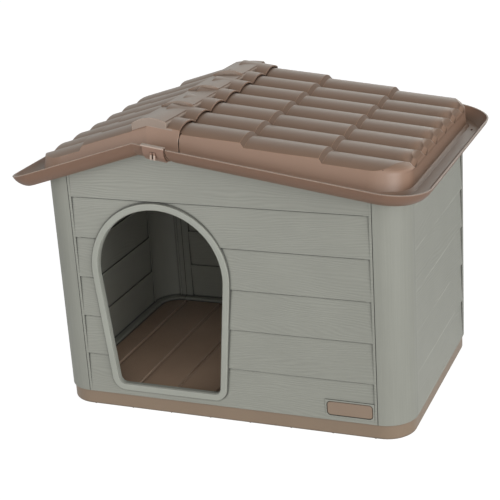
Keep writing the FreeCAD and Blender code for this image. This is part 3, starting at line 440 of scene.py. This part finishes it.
# Roof colours with light and shade painted in: lighter reddish upright bands and paler upright cap faces as
# painted light, a deeper underside as painted shade, painted shade on risers, in seams and in the gutter,
# and painted highlights on the edges of tiles, ridge and rim
def roof_colour(tree, vector, rise, upright, riser):
    height = calc(tree, "MAXIMUM", height_on_slope(tree, vector, RIGHT_PITCH),
                  height_on_slope(tree, vector, LEFT_PITCH))
    across = axis(tree, vector, "X")
    # Faces turning down, which get painted shade
    underside_shade = spread(tree, rise, TURNING_UNDER, FACING_DOWN)
    # Painted shade in seams and, with a wider reach, in the gutter
    seam = seam_share(tree, reach=0.010)
    gutter_shade = seam_share(tree, reach=0.03, deep=0.30, clear=0.75)
    # Painted highlights on outer edges of tiles, ridge and rim
    wide_edge = edge_share(tree, radius=0.0028, seam=seam)
    lip_highlight = product(tree, edge_share(tree, radius=0.0020, seam=seam), below(tree, across, SHOULDER_X))
    ridge = product(tree, near_level(tree, across, RIDGE_X, CAP_HALF_WIDTH), above(tree, height, CAP_FOOT))
    rim = near_level(tree, height, 0.0, RIM_HALF)
    return lay(tree, cloudy(tree, vector, BROWN, 0.02),
               # Upright bands painted lighter as painted light, faces turning down painted darker as
               # painted shade
               (upright, 1.0, linear(LIT_BAND_BROWN)),
               (underside_shade, 1.0, linear(UNDERSIDE_SHADE_BROWN)),
               # Risers painted darker, painted shade
               (riser, 0.75, linear(BROWN, 0.72)),
               # Upright faces of the ridge caps painted paler, painted light
               (product(tree, ridge, upright), 1.0, linear(LIT_CAP_BROWN)),
               # Painted highlights on tile lips and on ridge and rim edges
               (lip_highlight, 0.65, linear(BROWN, 1.35)),
               (product(tree, ridge, wide_edge), 0.5, linear(PALE_HIGHLIGHT)),
               (product(tree, rim, wide_edge), 0.6, linear(PALE_HIGHLIGHT)),
               # Painted shade in seams and in the gutter
               (seam, 0.7, linear(BROWN, 0.42)),
               (gutter_shade, 0.6, linear(BROWN, 0.55)))


# Roof plastic with a soft sheen, duller on the risers between the courses
def roof_finish():
    material, tree = new_material("roof_plastic")
    vector = place(tree)
    fine = noise(tree, vector, scale=700.0)
    facing = turned_vector(tree, flat_normal(tree), "WORLD", "OBJECT")
    rise = axis(tree, facing, "Z")
    upright = spread(tree, rise, SLOPING, UPRIGHT)
    riser = tile_risers(tree, vector, facing)
    base = roof_colour(tree, vector, rise, upright, riser)
    rough = weighted(tree, [(1.0, varied(tree, fine, 0.34, 0.40)), (0.02, upright), (0.3, riser)])
    normal = shoulder_normal(tree, vector, facing, rounded_normal(tree, 0.0016))
    finish_surface(tree, base, rough, fine, bump=0.00006, normal=normal)
    return material


# Tray plastic, with a glossier floor inside the cabin that is painted lighter, with painted shade that
# darkens it towards its borders
def tray_finish():
    material, tree = new_material("tray_plastic")
    vector = place(tree)
    inside = product(tree, below(tree, outward_from_middle(tree, vector, "X"), FLOOR_HALF_X),
                     below(tree, outward_from_middle(tree, vector, "Y"), FLOOR_HALF_Y),
                     above(tree, axis(tree, vector, "Z"), FLOOR_LEVEL))
    # Painted shade darkening the cabin floor towards its borders and corners
    nook_shade = product(tree, seam_share(tree, reach=0.30, deep=0.25, clear=0.62), inside)
    # Cabin floor painted lighter than the rest of the tray
    base = blend(tree, inside, cloudy(tree, vector, BASE_BROWN, 0.015),
                 cloudy(tree, vector, LIT_FLOOR_BROWN, 0.02), "RGBA")
    base = lay(tree, base, (nook_shade, 0.75, linear(LIT_FLOOR_BROWN, 0.45)))
    # Painted highlight on edges, paler on the cabin floor, and painted shade in seams
    light = blend(tree, inside, linear(BASE_BROWN, 1.12), linear(FLOOR_EDGE_HIGHLIGHT), "RGBA")
    base = seam_shade_and_edge_highlight(tree, base, seam_share(tree, reach=0.006), EDGE_RADIUS,
                dark=linear(BASE_BROWN, 0.45), light=light)
    fine = noise(tree, vector, scale=600.0)
    rough = weighted(tree, [(1.0, varied(tree, fine, 0.30, 0.36)), (-0.16, inside)])
    finish_surface(tree, base, rough, fine, bump=0.00005, normal=rounded_normal(tree, EDGE_RADIUS))
    return material


# Bare plate with a dark line round its rim
def plate_finish():
    material, tree = new_material("plate_plastic")
    vector = place(tree)
    fine = noise(tree, vector, scale=900.0)
    rim = edge_share(tree, radius=0.0016, seam=seam_share(tree, reach=0.002))
    base = lay(tree, cloudy(tree, vector, PLATE_BROWN, 0.015), (rim, 0.85, linear(PLATE_BROWN, 0.45)))
    rough = varied(tree, fine, 0.50, 0.60)
    finish_surface(tree, base, rough, fine, bump=0.0001, normal=rounded_normal(tree, EDGE_RADIUS))
    return material


# Latch plastic, with a painted highlight on its top strip and on its two prongs
def latch_finish():
    material, tree = new_material("latch_plastic")
    vector = place(tree)
    height = height_on_slope(tree, vector, RIGHT_PITCH)
    outermost = above(tree, outward_from_middle(tree, vector, "Y"), PRONG_OUT)
    prong = product(tree, outermost, below(tree, height, PRONG_DROP))
    # Painted highlight on the top strip and on the two prongs
    strip_and_prong_highlight = calc(tree, "MAXIMUM", above(tree, height, STRIP_FOOT), prong)
    # Painted shade in seams and painted highlights on outer edges
    base = seam_shade_and_edge_highlight(tree, cloudy(tree, vector, LATCH_BROWN, 0.015), seam_share(tree, reach=0.006),
                edge_radius=0.0010, dark=linear(LATCH_BROWN, 0.45), light=linear(LATCH_BROWN, 1.25))
    base = lay(tree, base, (strip_and_prong_highlight, 0.8, linear(PALE_HIGHLIGHT)))
    fine = noise(tree, vector, scale=700.0)
    rough = varied(tree, fine, 0.36, 0.46)
    finish_surface(tree, base, rough, fine, bump=0.00008, normal=rounded_normal(tree, 0.0008))
    return material


def steel_finish():
    material, tree = new_material("zinc_steel")
    vector = place(tree)
    brushed = drawn_noise(tree, vector, "Y", across_scale=900.0, along_scale=60.0)
    colour = cloudy(tree, vector, STEEL_GREY, 0.04)
    rough = varied(tree, brushed, 0.28, 0.42)
    normal = rounded_normal(tree, 0.0004)
    shader = finish_surface(tree, colour, rough, brushed, bump=0.00003, normal=normal)
    shader.inputs["Metallic"].default_value = 1.0
    return material


def dress(nodes, names, material):
    for name in names:
        piece = nodes[name]
        piece.data.materials.clear()
        piece.data.materials.append(material)


def dress_nodes(nodes):
    dress(nodes, ["front_panel", "rear_panel"], wall_finish("planks_along_x", "X"))
    dress(nodes, ["left_side_panel", "right_side_panel"], wall_finish("planks_along_y", "Y"))
    dress(nodes, ["door_frame"],
          smooth_finish("frame_plastic", WALL_PALE, roughness=0.34, grain=900.0, bump=0.00005))
    dress(nodes, ["roof_fixed", "roof_lid"], roof_finish())
    dress(nodes, ["base_tray"], tray_finish())
    dress(nodes, ["name_plate"], plate_finish())
    dress(nodes, ["front_latch", "rear_latch"], latch_finish())
    dress(nodes, ["front_hinge_bracket", "rear_hinge_bracket"],
          smooth_finish("bracket_plastic", WALL_COLOUR, roughness=0.5, grain=700.0, bump=0.0001))
    dress(nodes, ["front_hinge_pin", "rear_hinge_pin", "hinge_screws", "base_screws"],
          steel_finish())


def shine(tree, strength):
    return add(tree, "ShaderNodeEmission", {"Color": WHITE, "Strength": strength}).outputs[0]


def paint(tree, colour):
    return add(tree, "ShaderNodeBsdfDiffuse", {"Color": colour}).outputs[0]


def both(tree, first, second):
    return add(tree, "ShaderNodeAddShader", {0: first, 1: second}).outputs[0]


# Pale floor that looks white to the camera and keeps a soft shadow
def make_floor():
    bpy.ops.mesh.primitive_plane_add(size=PAPER_SIZE, location=(0.0, 0.0, 0.0))
    floor = bpy.context.object
    floor.name = "floor"
    material, tree = new_material("floor_paper")
    vector = place(tree)
    fleck = noise(tree, vector, scale=60.0, detail=3.0)
    paper = paint(tree, blend(tree, fleck, linear(PAPER_DARK), linear(PAPER_PALE), "RGBA"))
    far = vector_calc(tree, "LENGTH", vector, result="Value")
    bounce = shine(tree, spread(tree, far, BOUNCE_FULL, BOUNCE_END, BOUNCE, 0.0))
    unseen = both(tree, paper, bounce)
    seen = both(tree, paint(tree, DIM_GREY), shine(tree, PAPER_GLOW))
    by_camera = add(tree, "ShaderNodeLightPath").outputs["Is Camera Ray"]
    surface = add(tree, "ShaderNodeMixShader", {0: by_camera, 1: unseen, 2: seen}).outputs[0]
    add(tree, "ShaderNodeOutputMaterial", {"Surface": surface})
    floor.data.materials.append(material)


# Share of the light that comes from one direction, from 0 to 1
def lobe(tree, direction, azimuth, elevation, narrowness):
    level = cos(radians(elevation))
    aim = (sin(radians(azimuth)) * level, -cos(radians(azimuth)) * level, sin(radians(elevation)))
    return calc(tree, "POWER", calc(tree, "MAXIMUM", dot(tree, direction, aim), 0.0), narrowness)


# Room that is white to the camera, with its own brighter directions for matt surfaces and for reflections
def make_world():
    world = bpy.data.worlds.new("studio")
    bpy.context.scene.world = world
    world.use_nodes = True
    tree = world.node_tree
    tree.nodes.clear()
    direction = add(tree, "ShaderNodeTexCoord").outputs["Generated"]
    overhead = spread(tree, axis(tree, direction, "Z"), CEILING_FROM, CEILING_TO, curve="SMOOTHSTEP")
    matt = weighted(tree, [
        (SKY_AROUND, 1.0),
        (SKY_OVERHEAD, overhead),
        (SKY_FRONT_RIGHT, lobe(tree, direction, *FRONT_RIGHT_LOBE)),
        (SKY_FRONT_LEFT, lobe(tree, direction, *FRONT_LEFT_LOBE)),
        (SKY_BEHIND, lobe(tree, direction, *BEHIND_LOBE))])
    gloss = weighted(tree, [
        (GLOSS_AROUND, 1.0),
        (GLOSS_OVERHEAD, overhead),
        (GLOSS_FRONT, lobe(tree, direction, *GLOSS_FRONT_LOBE)),
        (GLOSS_BEHIND, lobe(tree, direction, *GLOSS_BEHIND_LOBE))])
    path = add(tree, "ShaderNodeLightPath")
    mirrored = calc(tree, "MAXIMUM", path.outputs["Is Glossy Ray"], path.outputs["Is Transmission Ray"])
    strength = blend(tree, path.outputs["Is Camera Ray"], blend(tree, mirrored, matt, gloss), 1.0)
    tint = blend(tree, mirrored, WHITE, GLOSS_TINT, "RGBA")
    light = add(tree, "ShaderNodeBackground", {"Color": tint, "Strength": strength})
    add(tree, "ShaderNodeOutputWorld", {"Surface": light.outputs[0]})


def make_lamp(name, where, size, power):
    data = bpy.data.lights.new(name, "AREA")
    data.shape = "RECTANGLE"
    data.size, data.size_y = size
    data.energy = power
    lamp = bpy.data.objects.new(name, data)
    bpy.context.scene.collection.objects.link(lamp)
    lamp.location = where
    away = lamp.location - Vector(LAMP_AIM)
    lamp.rotation_mode = "QUATERNION"
    lamp.rotation_quaternion = away.to_track_quat("Z", "Y")


def make_camera():
    data = bpy.data.cameras.new("photo_view")
    data.lens = CAMERA_LENS
    data.sensor_width = SENSOR
    data.clip_end = CLIP_END
    camera = bpy.data.objects.new("photo_view", data)
    bpy.context.scene.collection.objects.link(camera)
    camera.location = CAMERA_PLACE
    camera.rotation_euler = [radians(angle) for angle in CAMERA_TURN]
    bpy.context.scene.camera = camera


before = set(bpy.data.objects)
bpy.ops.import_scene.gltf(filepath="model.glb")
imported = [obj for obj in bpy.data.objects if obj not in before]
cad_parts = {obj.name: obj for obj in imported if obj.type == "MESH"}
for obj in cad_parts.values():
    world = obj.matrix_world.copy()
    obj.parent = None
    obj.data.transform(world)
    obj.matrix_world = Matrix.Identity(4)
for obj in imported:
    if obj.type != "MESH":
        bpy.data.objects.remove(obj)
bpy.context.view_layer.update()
bpy.context.scene.view_settings.view_transform = "Standard"
make_camera()
make_world()
make_floor()
make_lamp("right_box", RIGHT_PLACE, RIGHT_SIZE, RIGHT_POWER)
make_lamp("left_box", LEFT_PLACE, LEFT_SIZE, LEFT_POWER)
dress_nodes(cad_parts)
